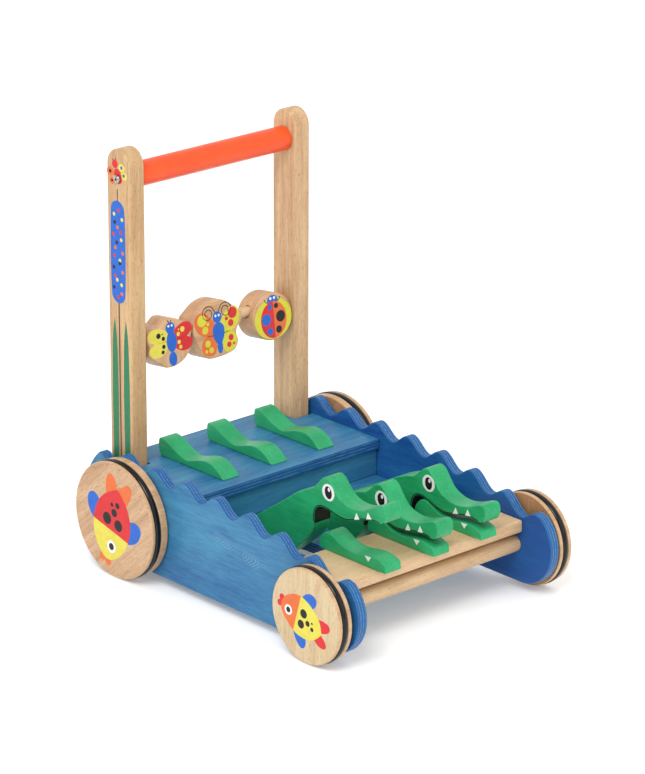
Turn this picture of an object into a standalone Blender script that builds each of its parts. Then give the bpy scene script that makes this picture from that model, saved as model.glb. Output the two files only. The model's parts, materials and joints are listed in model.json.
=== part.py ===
"""Wooden baby walker whose three alligators snap as it rolls.

Metres, +Z up. The walker faces -Y, X runs across it, and the origin is on the floor under its middle.
"""

import math

import bmesh
import bpy
from mathutils import Matrix, Vector

MM = 0.001

# Overall sizes
OVERALL_HEIGHT = 460 * MM
OVERALL_WIDTH = 330.8 * MM  # over the outer faces of the wheels
WHEELBASE = 304 * MM
NOSE_REACH = 54.6 * MM  # panel's front end ahead of the front axle
TAIL_RADIUS = 77.3 * MM  # panel's rear end, struck from the rear axle

# Clearances
GLUE_GAP = 0.3 * MM  # between pieces that touch
RUNNING_GAP = 0.6 * MM  # round a turning dowel, on the radius
SIDE_GAP = 2.5 * MM  # beside a head in its slot
BOLT_GAP = 0.4 * MM  # round a bolt's shank

# Side panels
PANEL_THICKNESS = 12 * MM
PANEL_BOTTOM = 10.5 * MM
WAVES = 7  # crests ahead of the rearmost one
WAVE_PITCH = 49.3 * MM
WAVE_HEIGHT = 13.8 * MM
WAVE_FALL = 0.52  # share of a wave that falls towards the front
WAVE_CREST = 134.6 * MM  # height that the crests level off towards at the rear
WAVE_SLOPE = 0.31  # fall of the crest line towards the front
WAVE_KNEE = 78 * MM  # behind the front axle, where the crest line bends
WAVE_KNEE_WIDTH = 120 * MM
LAST_CREST = 10 * MM  # behind the rear axle
NOSE_MIDDLE = 55.3 * MM  # height of the nose's foremost point
NOSE_RADIUS = 45.2 * MM
CORNER_EASE = 4 * MM  # left off where the waves meet the nose and the tail

# Wheels, tyres and axles
REAR_WHEEL_RADIUS = 64.6 * MM
FRONT_WHEEL_RADIUS = 51.1 * MM
REAR_WHEEL_THICKNESS = 21.5 * MM
FRONT_WHEEL_THICKNESS = 17.5 * MM
WHEEL_CHAMFER = 2 * MM
TYRE_STANDS_OUT = 0.9 * MM
TYRE_WIDTH = 6.4 * MM
TYRE_DEPTH = 4.6 * MM
TYRE_INSET = 8.6 * MM  # tyre's middle from the wheel's outer face
AXLE_RADIUS = 9 * MM
AXLE_END_WOOD = 6.5 * MM  # wood left between the axle's socket and the wheel's outer face
WASHER_RADIUS = 15 * MM
PANEL_WHEEL_GAP = 1.2 * MM  # between the panels and the rear wheels

# Deck, riser, floor, rear board and front plate
BOARD_THICKNESS = 12 * MM
DECK_TOP = 111 * MM
DECK_LENGTH = 150 * MM
DECK_AHEAD = 95.5 * MM  # deck's front edge ahead of the rear axle
RISER_SETBACK = 4.5 * MM
PLATE_TOP = 81.8 * MM
PLATE_THICKNESS = 13.5 * MM
PLATE_LENGTH = 80 * MM
PLATE_AHEAD = 12.5 * MM  # plate's front edge ahead of the front axle
FLOOR_UNDER_PLATE = 36 * MM
SLOT_UNDER_PLATE = 3.5 * MM
FLOOR_PAST_SLOT = 9 * MM
SLOT_PAST_HUB = 9 * MM
REAR_BOARD_BOTTOM = 30 * MM

# Alligators
HEAD_PITCH = 68 * MM
HEAD_THICKNESS = 23 * MM
HEAD_OPEN = math.radians(7.3)  # how far the left head is lifted at rest
PIVOT_AHEAD = 64 * MM  # pivot ahead of the rear axle
PIVOT_HEIGHT = 84 * MM
PIVOT_RADIUS = 4 * MM
PIVOT_SOCKET = 6 * MM
HUB_RADIUS = 11 * MM
BACK_REACH = 123.5 * MM  # from the deck's front edge to the rear of an alligator's back
ARM_BOTTOM = 27 * MM
CAM_RADIUS = 17 * MM
CAM_THROW = 5 * MM
CAM_WIDTH = 14 * MM
ARM_TAIL = 22 * MM  # arm's end behind the rear axle

# Posts, handle and bead rod
POST_THICKNESS = 21.2 * MM
POST_DEPTH = 36 * MM
POST_PANEL_GAP = 4.5 * MM
POST_BEHIND = 32.4 * MM  # posts' middle behind the rear axle
POST_BOTTOM = 28 * MM
POST_NOTCH_GAP = 1.6 * MM
HANDLE_RADIUS = 13.5 * MM
HANDLE_BELOW_TOP = 32 * MM
BEAD_ROD_RADIUS = 5.8 * MM
BEAD_ROD_HEIGHT = 242.2 * MM
BEAD_ROD_SOCKET = 10 * MM
BEAD_THICKNESS = 28 * MM
BEAD_TIP = math.radians(7)  # how far the beads' faces look up as they hang
BEAD_BORE_GAP = 0.8 * MM

# Bolts
BOLT_RADIUS = 3 * MM
BOLT_HEAD_RADIUS = 4.6 * MM
BOLT_HEAD_HEIGHT = 2.4 * MM
HEX_KEY = 3.4 * MM  # across the corners of the socket
HANDLE_BOLT_REACH = 26 * MM
POST_BOLT_REACH = 9 * MM
POST_BOLT_HEIGHTS = {"lower": 43 * MM, "upper": 84 * MM}

# Places that follow from the sizes above
BODY_LENGTH = NOSE_REACH + WHEELBASE + TAIL_RADIUS
FRONT_AXLE_Y = NOSE_REACH - BODY_LENGTH / 2
REAR_AXLE_Y = FRONT_AXLE_Y + WHEELBASE
FRONT_AXLE_Z = FRONT_WHEEL_RADIUS + TYRE_STANDS_OUT
REAR_AXLE_Z = REAR_WHEEL_RADIUS + TYRE_STANDS_OUT
WHEEL_FACE_X = OVERALL_WIDTH / 2
PANEL_OUTER_X = WHEEL_FACE_X - REAR_WHEEL_THICKNESS - PANEL_WHEEL_GAP
PANEL_INNER_X = PANEL_OUTER_X - PANEL_THICKNESS
BOARD_END_X = PANEL_INNER_X - GLUE_GAP
POST_OUTER_X = PANEL_INNER_X - POST_PANEL_GAP
POST_INNER_X = POST_OUTER_X - POST_THICKNESS
POST_Y = REAR_AXLE_Y + POST_BEHIND
HANDLE_Z = OVERALL_HEIGHT - HANDLE_BELOW_TOP
DECK_FRONT_Y = REAR_AXLE_Y - DECK_AHEAD
DECK_REAR_Y = DECK_FRONT_Y + DECK_LENGTH
DECK_BOTTOM = DECK_TOP - BOARD_THICKNESS
RISER_FRONT_Y = DECK_FRONT_Y + RISER_SETBACK
RISER_REAR_Y = RISER_FRONT_Y + BOARD_THICKNESS
PLATE_FRONT_Y = FRONT_AXLE_Y - PLATE_AHEAD
PLATE_REAR_Y = PLATE_FRONT_Y + PLATE_LENGTH
PLATE_BOTTOM = PLATE_TOP - PLATE_THICKNESS
FLOOR_TOP = PLATE_BOTTOM - GLUE_GAP
FLOOR_BOTTOM = FLOOR_TOP - BOARD_THICKNESS
PIVOT_Y = REAR_AXLE_Y - PIVOT_AHEAD
SLOT_REAR_Y = PIVOT_Y + HUB_RADIUS + SLOT_PAST_HUB
SLOT_FRONT_Y = PLATE_REAR_Y - SLOT_UNDER_PLATE
ARM_TAIL_TOP = REAR_AXLE_Z - CAM_RADIUS - CAM_THROW - RUNNING_GAP
HEAD_X = {"left": -HEAD_PITCH, "middle": 0.0, "right": HEAD_PITCH}
SIDES = {"left": -1, "right": 1}


def clear_scene():
    for item in list(bpy.data.objects):
        bpy.data.objects.remove(item, do_unlink=True)


def finish(name, colour, roughness, metallic=0.0):
    """A Principled material in one plain colour."""
    made = bpy.data.materials.new(name)
    made.use_nodes = True
    shader = made.node_tree.nodes["Principled BSDF"]
    shader.inputs["Base Color"].default_value = (*colour, 1.0)
    shader.inputs["Roughness"].default_value = roughness
    shader.inputs["Metallic"].default_value = metallic
    return made


def add_object(name, bm, material, location=(0, 0, 0), smooth=False):
    """Turns a bmesh, drawn about its own origin, into an object with outward faces."""
    bmesh.ops.recalc_face_normals(bm, faces=bm.faces)
    mesh = bpy.data.meshes.new(name)
    bm.to_mesh(mesh)
    bm.free()
    if smooth:
        mesh.shade_smooth()
        mesh.set_sharp_from_angle(angle=math.radians(35))
    if material:
        mesh.materials.append(material)
    made = bpy.data.objects.new(name, mesh)
    made.location = location
    bpy.context.scene.collection.objects.link(made)
    return made


def from_side(outline):
    """An outline drawn as (y, z) in the plane across X."""
    return [Vector((0, y, z)) for y, z in outline]


def from_front(outline):
    """An outline drawn as (x, z) in the plane across Y."""
    return [Vector((x, 0, z)) for x, z in outline]


def board(name, corners, thickness, material, location=(0, 0, 0), smooth=False):
    """Extrudes a flat outline by the thickness vector, starting half of it back."""
    bm = bmesh.new()
    face = bm.faces.new([bm.verts.new(corner - thickness / 2) for corner in corners])
    raised = bmesh.ops.extrude_face_region(bm, geom=[face])["geom"]
    lifted = [item for item in raised if isinstance(item, bmesh.types.BMVert)]
    bmesh.ops.translate(bm, verts=lifted, vec=thickness)
    return add_object(name, bm, material, location, smooth)


def slab(name, low, high, material):
    """A rectangular board between two corners, with its origin at its middle."""
    low, high = Vector(low), Vector(high)
    bm = bmesh.new()
    bmesh.ops.create_cube(bm, size=1, matrix=Matrix.Diagonal((*(high - low), 1)))
    return add_object(name, bm, material, (low + high) / 2)


def turned(name, profile, steps, material, location=(0, 0, 0), ring=False):
    """Turns a profile of (x, radius) about the X axis; a ring's profile is a closed loop."""
    bm = bmesh.new()
    points = [bm.verts.new((x, 0, radius)) for x, radius in profile]
    pairs = zip(points, points[1:] + points[:1]) if ring else zip(points, points[1:])
    edges = [bm.edges.new(pair) for pair in pairs]
    bmesh.ops.spin(
        bm, geom=points + edges, cent=(0, 0, 0), axis=(1, 0, 0), angle=math.tau, steps=steps, use_merge=True
    )
    bmesh.ops.remove_doubles(bm, verts=bm.verts, dist=1e-6)
    return add_object(name, bm, material, location, smooth=True)


def dowel(name, radius, length, steps, material, location):
    """A round bar along X, centred on its location."""
    half = length / 2
    profile = [(-half, 0), (-half, radius), (half, radius), (half, 0)]
    return turned(name, profile, steps, material, location)


def cut(target, tool):
    """Takes the tool's shape out of the target and hides the tool."""
    tool.hide_render = True
    tool.display_type = "WIRE"
    boolean = target.modifiers.new("cut " + tool.name, "BOOLEAN")
    boolean.operation = "DIFFERENCE"
    boolean.solver = "EXACT"
    boolean.object = tool


def bore(target, radius, x_from, x_to, y, z, steps=24):
    """Drills along X between two places."""
    middle = ((x_from + x_to) / 2, y, z)
    cut(target, dowel("bore_" + target.name, radius, abs(x_to - x_from), steps, None, middle))


def spline(points, steps, closed=False):
    """A smooth curve through the points, with a few straight steps between each pair."""
    count = len(points)
    curve = []
    for i in range(count if closed else count - 1):
        if closed:
            a, b, c, d = (Vector(points[(i + k) % count]) for k in (-1, 0, 1, 2))
        else:
            a, b, c, d = (Vector(points[min(max(i + k, 0), count - 1)]) for k in (-1, 0, 1, 2))
        for step in range(steps):
            t = step / steps
            bend = (2 * a - 5 * b + 4 * c - d) * t * t + (3 * b - a - 3 * c + d) * t**3
            curve.append(tuple(b + ((c - a) * t + bend) / 2))
    if not closed:
        curve.append(tuple(points[-1]))
    return curve


def arc(centre, radii, start, end, steps):
    """Points on an ellipse's arc, angles in degrees from the first axis, ends included."""
    angles = [math.radians(start + (end - start) * i / steps) for i in range(steps + 1)]
    return [(centre[0] + radii[0] * math.cos(a), centre[1] + radii[1] * math.sin(a)) for a in angles]


# Side panels ---------------------------------------------------------------------------------


def wave_height(y):
    """Height of the panels' wavy edge: each wave falls slowly forwards and rises quickly."""
    before_knee = FRONT_AXLE_Y + WAVE_KNEE - y
    crest_line = WAVE_CREST - WAVE_SLOPE / 2 * (before_knee + math.hypot(before_knee, WAVE_KNEE_WIDTH))
    along = (REAR_AXLE_Y + LAST_CREST - y) / WAVE_PITCH % 1
    if along < WAVE_FALL:
        share = along / WAVE_FALL
    else:
        share = (1 - along) / (1 - WAVE_FALL)
    return crest_line - WAVE_HEIGHT * (1 - math.cos(math.pi * share)) / 2


def panel_outline():
    """From the nose's bottom, up round the nose, back along the waves and down round the tail."""
    nose_y = FRONT_AXLE_Y - NOSE_REACH + NOSE_RADIUS
    dip = math.degrees(math.asin((NOSE_MIDDLE - PANEL_BOTTOM) / NOSE_RADIUS))
    first_crest = REAR_AXLE_Y + LAST_CREST - WAVES * WAVE_PITCH
    nose = arc((nose_y, NOSE_MIDDLE), (NOSE_RADIUS, NOSE_RADIUS), 180 + dip, 90, 36)
    outline = [p for p in nose if p[1] < NOSE_MIDDLE or p[0] < first_crest - CORNER_EASE]
    step = WAVE_PITCH / 14
    y = first_crest
    limit = TAIL_RADIUS - CORNER_EASE / 2
    while y < REAR_AXLE_Y or math.hypot(y - REAR_AXLE_Y, wave_height(y) - REAR_AXLE_Z) < limit:
        outline.append((y, wave_height(y)))
        y += step
    ease = math.degrees(CORNER_EASE / TAIL_RADIUS)
    top = math.degrees(math.atan2(outline[-1][1] - REAR_AXLE_Z, outline[-1][0] - REAR_AXLE_Y)) - ease
    bottom = -math.degrees(math.asin((REAR_AXLE_Z - PANEL_BOTTOM) / TAIL_RADIUS))
    return outline + arc((REAR_AXLE_Y, REAR_AXLE_Z), (TAIL_RADIUS, TAIL_RADIUS), top, bottom, 18)


def side_panels(paint):
    for side, sign in SIDES.items():
        middle_x = sign * (PANEL_INNER_X + PANEL_OUTER_X) / 2
        thickness = Vector((PANEL_THICKNESS, 0, 0))
        panel = board("side_panel_" + side, from_side(panel_outline()), thickness, paint, (middle_x, 0, 0))
        past = sign * (PANEL_OUTER_X + 1 * MM)
        inside = sign * (PANEL_INNER_X - 1 * MM)
        hole = AXLE_RADIUS + RUNNING_GAP
        bore(panel, hole, inside, past, FRONT_AXLE_Y, FRONT_AXLE_Z, 28)
        bore(panel, hole, inside, past, REAR_AXLE_Y, REAR_AXLE_Z, 28)
        socket_end = sign * (PANEL_INNER_X + PIVOT_SOCKET + GLUE_GAP)
        bore(panel, PIVOT_RADIUS + GLUE_GAP, inside, socket_end, PIVOT_Y, PIVOT_HEIGHT, 16)
        bolt_end = sign * (PANEL_INNER_X + POST_BOLT_REACH + GLUE_GAP)
        for z in POST_BOLT_HEIGHTS.values():
            bore(panel, BOLT_RADIUS + BOLT_GAP, inside, bolt_end, POST_Y, z, 12)


# Boards between the panels -------------------------------------------------------------------


def cross_boards(paint, plate_wood):
    end = BOARD_END_X
    deck = slab("deck_board", (-end, DECK_FRONT_Y, DECK_BOTTOM), (end, DECK_REAR_Y, DECK_TOP), paint)
    for side, sign in SIDES.items():
        near = sign * (POST_INNER_X - POST_NOTCH_GAP)
        far = sign * (end + 1 * MM)
        half = POST_DEPTH / 2 + POST_NOTCH_GAP
        low = (min(near, far), POST_Y - half, DECK_BOTTOM - 1 * MM)
        high = (max(near, far), DECK_REAR_Y + 1 * MM, DECK_TOP + 1 * MM)
        cut(deck, slab("notch_" + side, low, high, None))
    under_deck = DECK_BOTTOM - GLUE_GAP
    riser_low = (-end, RISER_FRONT_Y, FLOOR_TOP + GLUE_GAP)
    slab("riser_board", riser_low, (end, RISER_REAR_Y, under_deck), paint)
    between = POST_INNER_X - GLUE_GAP
    rear_low = (-between, DECK_REAR_Y - BOARD_THICKNESS, REAR_BOARD_BOTTOM)
    slab("rear_board", rear_low, (between, DECK_REAR_Y, under_deck), paint)
    slab("jaw_plate", (-end, PLATE_FRONT_Y, PLATE_BOTTOM), (end, PLATE_REAR_Y, PLATE_TOP), plate_wood)
    floor_low = (-end, PLATE_REAR_Y - FLOOR_UNDER_PLATE, FLOOR_BOTTOM)
    floor = slab("floor_board", floor_low, (end, SLOT_REAR_Y + FLOOR_PAST_SLOT, FLOOR_TOP), paint)
    for name, x in HEAD_X.items():
        half = HEAD_THICKNESS / 2 + SIDE_GAP
        low = (x - half, SLOT_FRONT_Y, FLOOR_BOTTOM - 1 * MM)
        high = (x + half, SLOT_REAR_Y, FLOOR_TOP + 1 * MM)
        cut(floor, slab("slot_" + name, low, high, None))


# Alligators ----------------------------------------------------------------------------------


def from_front_axle(points):
    """Outline points in mm behind the front axle and above the plate, made (y, z) in metres."""
    return [(FRONT_AXLE_Y + y * MM, PLATE_TOP + z * MM) for y, z in points]


def head_outline():
    """Snout, brow and neck in front, then the arm that runs under the floor to the cams."""
    top = from_front_axle([
        (128, 21), (106, 33), (90, 39.5), (78, 43), (68.5, 50.5), (60, 56.4), (52, 54.5), (44, 44.5),
        (35.5, 35.5), (24, 30.7), (12, 29.3), (0, 31), (-12, 35.2), (-21.5, 38.7), (-28, 37.8), (-30.3, 30),
    ])  # fmt: skip
    mouth = from_front_axle([
        (-27.3, 21.4), (-20.5, 19.6), (-9, 20.9), (4, 19.5), (18, 16.6), (32, 15), (45, 17.7), (58, 22),
        (68, 23.4), (75.2, 20.6), (78.7, 14), (80, 6),
    ])  # fmt: skip
    throat = from_front_axle([(84, -3), (92, -12.5), (105, -22)])
    start_y, start_z = throat[-1]
    run = RISER_FRONT_Y - start_y
    belly = [
        (start_y + run * 0.25, start_z - (start_z - ARM_BOTTOM) * 0.5),
        (start_y + run * 0.6, ARM_BOTTOM + 3 * MM),
        (RISER_FRONT_Y, ARM_BOTTOM),
        (PIVOT_Y, ARM_BOTTOM),
    ]
    tail_end = REAR_AXLE_Y + ARM_TAIL
    tail_middle = (ARM_BOTTOM + ARM_TAIL_TOP) / 2
    tail_radius = (ARM_TAIL_TOP - ARM_BOTTOM) / 2
    tail = arc((tail_end - tail_radius, tail_middle), (tail_radius, tail_radius), -90, 90, 8)
    hub = arc((PIVOT_Y, PIVOT_HEIGHT), (HUB_RADIUS, HUB_RADIUS), -30, 190, 14)
    behind_hub = spline(
        [
            (REAR_AXLE_Y - 24 * MM, ARM_TAIL_TOP),
            (PIVOT_Y + 22 * MM, ARM_TAIL_TOP + 5 * MM),
            (PIVOT_Y + HUB_RADIUS + 1.5 * MM, ARM_TAIL_TOP + 17 * MM),
            hub[0],
        ],
        3,
    )
    under_riser = [
        hub[-1],
        (PIVOT_Y - HUB_RADIUS - 1 * MM, FLOOR_TOP - 2 * MM),
        (RISER_REAR_Y - 2 * MM, FLOOR_TOP - 9 * MM),
        (RISER_FRONT_Y, FLOOR_TOP - 8.5 * MM),
    ]
    neck_y, neck_z = top[0]
    rise = (neck_y - RISER_FRONT_Y, neck_z - under_riser[-1][1])
    nape = [(RISER_FRONT_Y + rise[0] * s, under_riser[-1][1] + rise[1] * s) for s in (0.33, 0.66)]
    front = spline(under_riser + nape + top + mouth + throat + belly, 4)
    return front + tail + behind_hub[:-1] + hub[:-1]


def about_pivot(outline):
    return [(y - PIVOT_Y, z - PIVOT_HEIGHT) for y, z in outline]


def alligators(green):
    thickness = Vector((HEAD_THICKNESS, 0, 0))
    lower = from_front_axle([(74, 0.3), (75.2, 7), (72, 14), (66, 19.3), (59, 20.6), (50, 17), (41, 12.6)])
    lower += from_front_axle([(30, 10.4), (18, 10.5), (6, 12.8), (-6, 13.8), (-16, 12.2), (-23.6, 8.6)])
    lower += from_front_axle([(-25.3, 0.3)])
    ridge = [(-1.5, 18.5), (-5.5, 20), (-13, 18.5), (-24, 13.5), (-36, 8.6), (-46, 6.6), (-56, 8.6)]
    ridge += [(-69, 12.6), (-80, 13.9), (-89, 12.4), (-96, 8.8), (-103, 4), (-107, 0.3)]
    back_rear_y = DECK_FRONT_Y + BACK_REACH
    back = [(back_rear_y - 3.5 * MM, DECK_TOP + GLUE_GAP), (back_rear_y - 0.5 * MM, DECK_TOP + 9 * MM)]
    back += [(back_rear_y + y * MM, DECK_TOP + z * MM) for y, z in ridge]
    for name, x in HEAD_X.items():
        board("lower_jaw_" + name, from_side(spline(lower, 4)), thickness, green, (x, 0, 0))
        board("back_" + name, from_side(spline(back, 4)), thickness, green, (x, 0, 0))
        outline = from_side(about_pivot(head_outline()))
        head = board("head_" + name, outline, thickness, green, (x, PIVOT_Y, PIVOT_HEIGHT))
        half = HEAD_THICKNESS / 2 + 1 * MM
        bore(head, PIVOT_RADIUS + RUNNING_GAP, x - half, x + half, PIVOT_Y, PIVOT_HEIGHT, 16)
        if name == "left":
            head.rotation_euler.x = -HEAD_OPEN


def pivot_and_cams(wood, cam_wood):
    rod_length = 2 * (PANEL_INNER_X + PIVOT_SOCKET)
    dowel("pivot_rod", PIVOT_RADIUS, rod_length, 16, wood, (0, PIVOT_Y, PIVOT_HEIGHT))
    for turn, (name, x) in enumerate(HEAD_X.items()):
        angle = math.tau * turn / len(HEAD_X) - math.pi / 2
        throw = Vector((0, CAM_THROW * math.cos(angle), CAM_THROW * math.sin(angle)))
        disc = from_side(arc((throw.y, throw.z), (CAM_RADIUS, CAM_RADIUS), 0, 360, 32)[:-1])
        cam = board("cam_" + name, disc, Vector((CAM_WIDTH, 0, 0)), cam_wood, (x, REAR_AXLE_Y, REAR_AXLE_Z))
        half = CAM_WIDTH / 2 + 1 * MM
        bore(cam, AXLE_RADIUS + GLUE_GAP, x - half, x + half, REAR_AXLE_Y, REAR_AXLE_Z, 28)


# Wheels and axles ----------------------------------------------------------------------------


def wheel_set(end, y, radius, thickness, wood, rubber, nylon):
    """One axle with its two wheels, tyres and washers."""
    z = radius + TYRE_STANDS_OUT
    inner_face = WHEEL_FACE_X - thickness
    socket = thickness - AXLE_END_WOOD
    axle_reach = inner_face + socket - GLUE_GAP
    dowel(end + "_axle", AXLE_RADIUS, 2 * axle_reach, 28, wood, (0, y, z))
    groove_half = TYRE_WIDTH / 2 + GLUE_GAP
    tyre_outer = radius + TYRE_STANDS_OUT
    groove_floor = tyre_outer - TYRE_DEPTH - GLUE_GAP
    socket_radius = AXLE_RADIUS + GLUE_GAP
    profile = [
        (socket, 0), (socket, socket_radius), (0, socket_radius), (0, radius - WHEEL_CHAMFER),
        (WHEEL_CHAMFER, radius), (thickness - TYRE_INSET - groove_half, radius),
        (thickness - TYRE_INSET - groove_half, groove_floor), (thickness - TYRE_INSET + groove_half, groove_floor),
        (thickness - TYRE_INSET + groove_half, radius), (thickness - WHEEL_CHAMFER, radius),
        (thickness, radius - WHEEL_CHAMFER), (thickness, 0),
    ]  # fmt: skip
    tyre_middle = tyre_outer - TYRE_DEPTH / 2
    section = arc((thickness - TYRE_INSET, tyre_middle), (TYRE_WIDTH / 2, TYRE_DEPTH / 2), 0, 360, 8)[:-1]
    washer_near = PANEL_OUTER_X + GLUE_GAP - inner_face
    washer = [(washer_near, socket_radius), (washer_near, WASHER_RADIUS)]
    washer += [(-GLUE_GAP, WASHER_RADIUS), (-GLUE_GAP, socket_radius)]
    for side, sign in SIDES.items():
        place = (sign * inner_face, y, z)
        name = end + "_wheel_" + side
        turned(name, [(sign * x, r) for x, r in profile], 32, wood, place)
        turned(end + "_tyre_" + side, [(sign * x, r) for x, r in section], 32, rubber, place, ring=True)
        turned(end + "_washer_" + side, [(sign * x, r) for x, r in washer], 20, nylon, place, ring=True)


# Posts, handle and beads ---------------------------------------------------------------------


def posts(wood, nylon):
    half = POST_DEPTH / 2
    shaft = [(POST_Y + half, POST_BOTTOM), (POST_Y - half, POST_BOTTOM)]
    outline = shaft + arc((POST_Y, OVERALL_HEIGHT - half), (-half, half), 0, 180, 16)
    strip_half = half - 5 * MM
    strip_ends = (POST_BOTTOM + 4 * MM, DECK_BOTTOM - 4 * MM)
    for side, sign in SIDES.items():
        middle_x = sign * (POST_INNER_X + POST_OUTER_X) / 2
        thickness = Vector((POST_THICKNESS, 0, 0))
        post = board("post_" + side, from_side(outline), thickness, wood, (middle_x, 0, 0))
        inside = sign * (POST_INNER_X - 1 * MM)
        outside = sign * (POST_OUTER_X + 1 * MM)
        bore(post, BOLT_RADIUS + BOLT_GAP, inside, outside, POST_Y, HANDLE_Z, 12)
        socket_end = sign * (POST_INNER_X + BEAD_ROD_SOCKET + GLUE_GAP)
        bore(post, BEAD_ROD_RADIUS + GLUE_GAP, inside, socket_end, POST_Y, BEAD_ROD_HEIGHT, 20)
        near = sign * (POST_OUTER_X + GLUE_GAP)
        far = sign * (PANEL_INNER_X - GLUE_GAP)
        low = (min(near, far), POST_Y - strip_half, strip_ends[0])
        high = (max(near, far), POST_Y + strip_half, strip_ends[1])
        strip = slab("post_spacer_" + side, low, high, nylon)
        for z in POST_BOLT_HEIGHTS.values():
            bore(post, BOLT_RADIUS + BOLT_GAP, inside, outside, POST_Y, z, 12)
            bore(strip, BOLT_RADIUS + BOLT_GAP, near - sign * MM, far + sign * MM, POST_Y, z, 12)


def handle_and_rod(red, wood):
    length = 2 * (POST_INNER_X - GLUE_GAP)
    bar = dowel("handle_bar", HANDLE_RADIUS, length, 32, red, (0, POST_Y, HANDLE_Z))
    for sign in SIDES.values():
        deep = sign * (POST_INNER_X - HANDLE_BOLT_REACH - GLUE_GAP)
        bore(bar, BOLT_RADIUS + GLUE_GAP, sign * (POST_INNER_X + 1 * MM), deep, POST_Y, HANDLE_Z, 12)
    rod_length = 2 * (POST_INNER_X + BEAD_ROD_SOCKET)
    dowel("bead_rod", BEAD_ROD_RADIUS, rod_length, 20, wood, (0, POST_Y, BEAD_ROD_HEIGHT))


def bolt(name, sign, seat_x, reach, y, z, steel):
    """A hex-socket bolt whose head sits on seat_x and whose shank runs against sign."""
    socket = BOLT_HEAD_HEIGHT * 0.7
    base = GLUE_GAP
    profile = [
        (-reach, 0), (-reach, BOLT_RADIUS), (base, BOLT_RADIUS), (base, BOLT_HEAD_RADIUS),
        (base + BOLT_HEAD_HEIGHT * 0.6, BOLT_HEAD_RADIUS), (base + BOLT_HEAD_HEIGHT, BOLT_HEAD_RADIUS * 0.8),
        (base + BOLT_HEAD_HEIGHT, 0),
    ]  # fmt: skip
    made = turned(name, [(sign * x, r) for x, r in profile], 18, steel, (seat_x, y, z))
    top = seat_x + sign * (base + BOLT_HEAD_HEIGHT)
    key_middle = (top - sign * (socket - 1 * MM) / 2, y, z)
    cut(made, dowel("key_" + name, HEX_KEY / 2, socket + 1 * MM, 6, None, key_middle))


def bolts(steel):
    for side, sign in SIDES.items():
        reach = POST_THICKNESS + HANDLE_BOLT_REACH
        bolt("handle_bolt_" + side, sign, sign * POST_OUTER_X, reach, POST_Y, HANDLE_Z, steel)
        reach = PANEL_INNER_X + POST_BOLT_REACH - POST_INNER_X
        for level, z in POST_BOLT_HEIGHTS.items():
            name = "post_bolt_" + side + "_" + level
            bolt(name, -sign, sign * POST_INNER_X, reach, POST_Y, z, steel)


def centre_height(outline):
    """Height of the middle of the area inside a closed outline."""
    pairs = list(zip(outline, outline[1:] + outline[:1]))
    areas = [a[0] * b[1] - b[0] * a[1] for a, b in pairs]
    moments = [area * (a[1] + b[1]) for area, (a, b) in zip(areas, pairs)]
    return sum(moments) / sum(areas) / 3


def beads(wood):
    """Thick shapes on the rod, drawn as (x, z) in mm from the rod's axis.

    Each is drilled a little ahead of its middle, so it hangs with its face tipped up.
    """
    small = [(-27.4, 11), (-19.1, 13.9), (-9.1, 13.9), (0.6, 20.1), (11.4, 18.7), (20.9, 13.4), (29.6, 10.1)]
    small += [(32.3, 2.4), (29.9, -6.2), (31.2, -12.8), (26.9, -20.5), (18.7, -28.1), (6.2, -32.4)]
    small += [(-6.7, -31.9), (-15.1, -26.2), (-22.5, -20.5), (-28.9, -13.8), (-27.1, -6.2), (-29.8, 1.5)]
    large = [(-29.9, 10.1), (-22.8, 15.8), (-13.2, 22), (-1.8, 25.4), (10.2, 24.9), (19.6, 19.6), (27.9, 13)]
    large += [(35.8, 6.3), (35.3, -2.3), (28.5, -10), (26.8, -16.6), (28.5, -24.3), (23.1, -32.9)]
    large += [(12.8, -35.7), (0.7, -36.7), (-12.2, -36.2), (-20.8, -31.9), (-25.9, -23.3), (-29.9, -13.8)]
    large += [(-32.7, -2.3)]
    ladybird = arc((1, -9.3), (28.1, 26.3), 0, 360, 60)[:-1]
    shapes = {
        "bead_small_butterfly": (-70 * MM, spline(small, 4, closed=True)),
        "bead_large_butterfly": (-3 * MM, spline(large, 4, closed=True)),
        "bead_ladybird": (POST_INNER_X - 29.5 * MM, ladybird),
    }
    thickness = Vector((0, BEAD_THICKNESS, 0))
    reach = 40 * MM
    for name, (x, outline) in shapes.items():
        behind_hole = Vector((0, -centre_height(outline) * MM * math.tan(BEAD_TIP), 0))
        corners = [corner + behind_hole for corner in from_front([(u * MM, v * MM) for u, v in outline])]
        bead = board(name, corners, thickness, wood, (x, POST_Y, BEAD_ROD_HEIGHT))
        bead.rotation_euler.x = -BEAD_TIP
        bore(bead, BEAD_ROD_RADIUS + BEAD_BORE_GAP, x - reach, x + reach, POST_Y, BEAD_ROD_HEIGHT, 20)


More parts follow.
